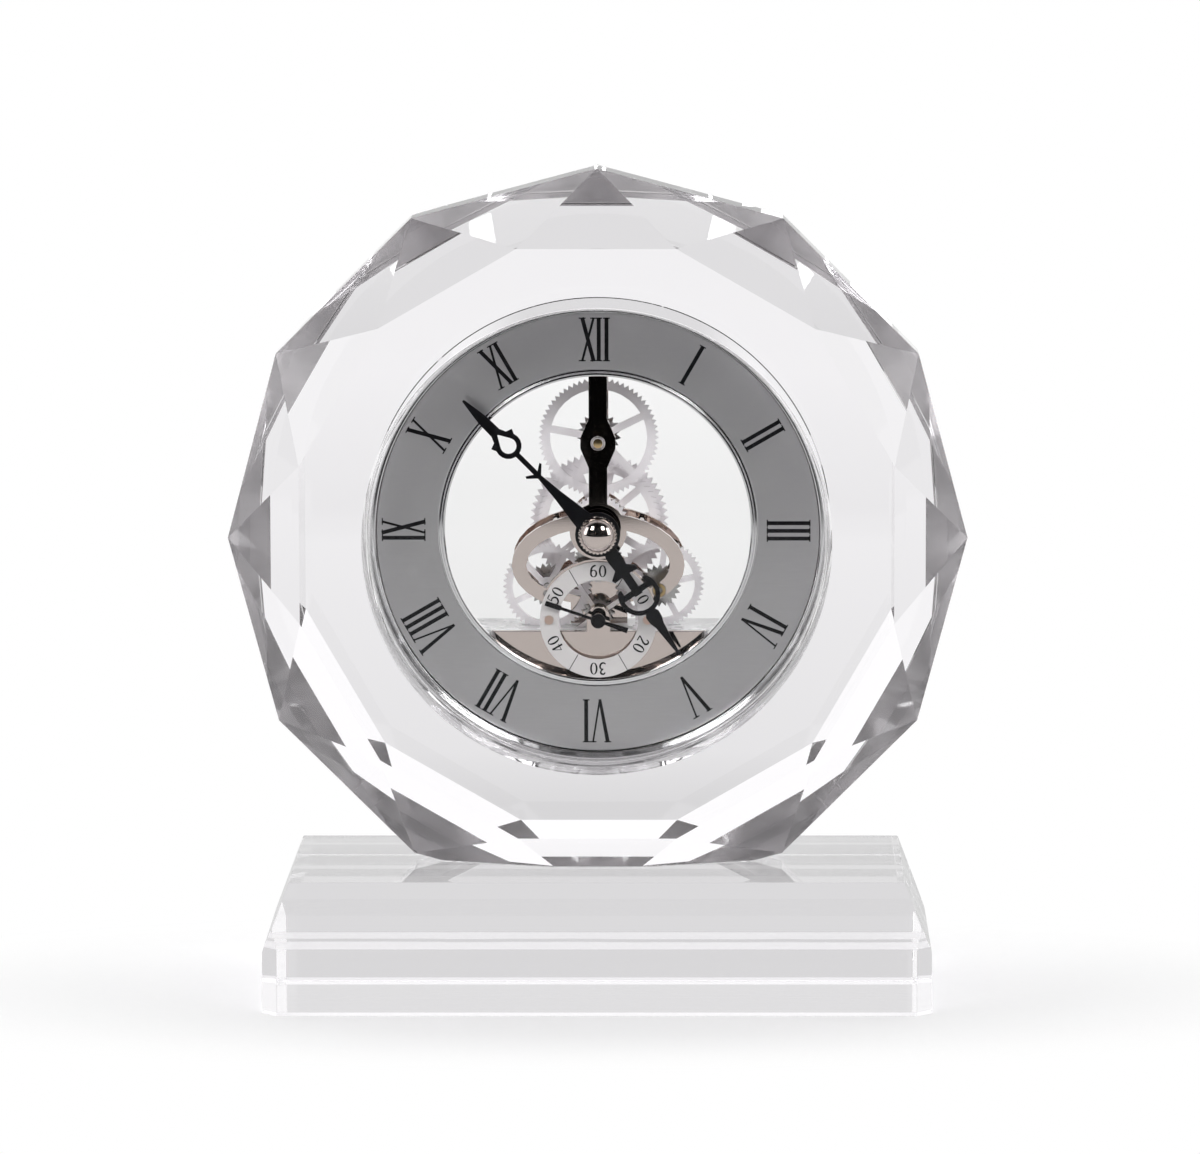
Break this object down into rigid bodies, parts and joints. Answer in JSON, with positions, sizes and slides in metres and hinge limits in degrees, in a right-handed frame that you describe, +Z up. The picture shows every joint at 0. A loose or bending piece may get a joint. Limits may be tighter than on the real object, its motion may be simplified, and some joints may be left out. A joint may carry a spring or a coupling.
{
  "type": "crystal desk clock",
  "caption": "Faceted twelve-sided glass disc on a glass block, bored through to hold a round skeleton clock with open gear train, seconds ring and spade hands.",
  "frame": {"origin": "centre of the base's underside, on the surface that the clock stands on", "axes": "+Z up, the dial faces -Y, +X to the right seen from the front"},
  "size_m": [0.16, 0.058, 0.1801],
  "materials": {
    "crystal": "polished",
    "clear_plastic": "clear, polished",
    "clear_rubber": "soft, translucent",
    "chrome": "mirror polished",
    "brushed_dial": "circular brushed",
    "seconds_print": "satin",
    "satin_wheel": "satin",
    "steel": "smooth",
    "brass": "polished",
    "copper": "satin",
    "coil_wire": "enamelled wire",
    "white_plastic": "smooth",
    "black_plastic": "satin",
    "black_hands": "satin",
    "board": "satin",
    "battery_can": "printed, plain"
  },
  "bodies": {
    "stand": {"crystal_base": "crystal", "crystal_body": "crystal", "bezel_ring": "chrome", "front_lens": "clear_plastic", "case_ring": "white_plastic", "gasket_ring": "clear_rubber", "rear_cover": "clear_plastic", "cover_screw_1": "steel", "cover_screw_2": "steel", "cover_screw_3": "steel", "cover_screw_4": "steel", "dial_ring": "brushed_dial", "dial_lip": "chrome", "seconds_dial": "seconds_print", "seconds_rivet_left": "copper", "seconds_rivet_right": "copper", "front_bridge": "chrome", "rear_bridge": "chrome", "rear_plate": "chrome", "pillar_left": "chrome", "pillar_right": "chrome", "pillar_top": "chrome", "top_bush": "steel", "right_bush": "brass", "bottom_plate": "chrome", "movement_housing": "white_plastic", "housing_lid": "white_plastic", "stator": "steel", "coil": "coil_wire", "circuit_board": "board", "battery": "battery_can", "contact_left": "steel", "contact_right": "steel"},
    "minutes": {"centre_arbor": "steel", "centre_wheel": "satin_wheel", "cannon_pinion": "steel", "minute_hand": "black_hands", "dome_nut": "chrome", "set_knob": "black_plastic"},
    "hours": {"hour_wheel": "steel", "hour_hand": "black_hands"},
    "motion_work": {"minute_wheel": "steel"},
    "seconds": {"seconds_arbor": "steel", "seconds_wheel": "satin_wheel", "seconds_collet": "brass", "seconds_hand": "black_hands"},
    "third": {"third_arbor": "steel", "third_wheel": "satin_wheel"},
    "second": {"second_pinion": "satin_wheel", "second_wheel": "satin_wheel"},
    "top": {"top_arbor": "brass", "top_wheel": "satin_wheel"},
    "right": {"right_arbor": "steel", "right_wheel": "satin_wheel"},
    "idler": {"idler_wheel": "satin_wheel"},
    "motor": {"rotor": "steel"},
    "hatch": {"battery_hatch": "white_plastic"}
  },
  "joints": [
    {"name": "minute_turn", "type": "hinge", "parent": "stand", "child": "minutes", "pos_m": [0, 0.0015, 0.1007], "axis": [0, 1, 0], "continuous": true},
    {"name": "hour_turn", "type": "hinge", "parent": "stand", "child": "hours", "pos_m": [0, 0.0015, 0.1007], "axis": [0, 1, 0], "continuous": true},
    {"name": "motion_turn", "type": "hinge", "parent": "stand", "child": "motion_work", "pos_m": [0, 0.0015, 0.094], "axis": [0, 1, 0], "continuous": true},
    {"name": "second_turn", "type": "hinge", "parent": "stand", "child": "second", "pos_m": [0, 0.0015, 0.1007], "axis": [0, 1, 0], "continuous": true},
    {"name": "top_turn", "type": "hinge", "parent": "stand", "child": "top", "pos_m": [0, 0.0015, 0.1199], "axis": [0, 1, 0], "continuous": true},
    {"name": "third_turn", "type": "hinge", "parent": "stand", "child": "third", "pos_m": [-0.01126, 0.0015, 0.08701], "axis": [0, 1, 0], "continuous": true},
    {"name": "seconds_turn", "type": "hinge", "parent": "stand", "child": "seconds", "pos_m": [0, 0.0015, 0.08136], "axis": [0, 1, 0], "continuous": true},
    {"name": "right_turn", "type": "hinge", "parent": "stand", "child": "right", "pos_m": [0.01329, 0.0015, 0.0877], "axis": [0, 1, 0], "continuous": true},
    {"name": "idler_turn", "type": "hinge", "parent": "stand", "child": "idler", "pos_m": [0.01101, 0.0015, 0.0762], "axis": [0, 1, 0], "continuous": true},
    {"name": "rotor_turn", "type": "hinge", "parent": "stand", "child": "motor", "pos_m": [0.00536, 0.0015, 0.07416], "axis": [0, 1, 0], "continuous": true},
    {"name": "hatch_slide", "type": "slide", "parent": "stand", "child": "hatch", "axis": [0, 1, 0], "range_m": [0, 0.02]}
  ],
  "couplings": [
    {"joint": "hour_turn", "follows": "minute_turn", "ratio": 0.083333},
    {"joint": "motion_turn", "follows": "minute_turn", "ratio": -0.33333},
    {"joint": "top_turn", "follows": "minute_turn", "ratio": -3.3333},
    {"joint": "second_turn", "follows": "minute_turn", "ratio": 6.6667},
    {"joint": "third_turn", "follows": "minute_turn", "ratio": -20},
    {"joint": "seconds_turn", "follows": "minute_turn", "ratio": 60},
    {"joint": "right_turn", "follows": "minute_turn", "ratio": -144},
    {"joint": "idler_turn", "follows": "minute_turn", "ratio": 600},
    {"joint": "rotor_turn", "follows": "minute_turn", "ratio": -1800}
  ]
}
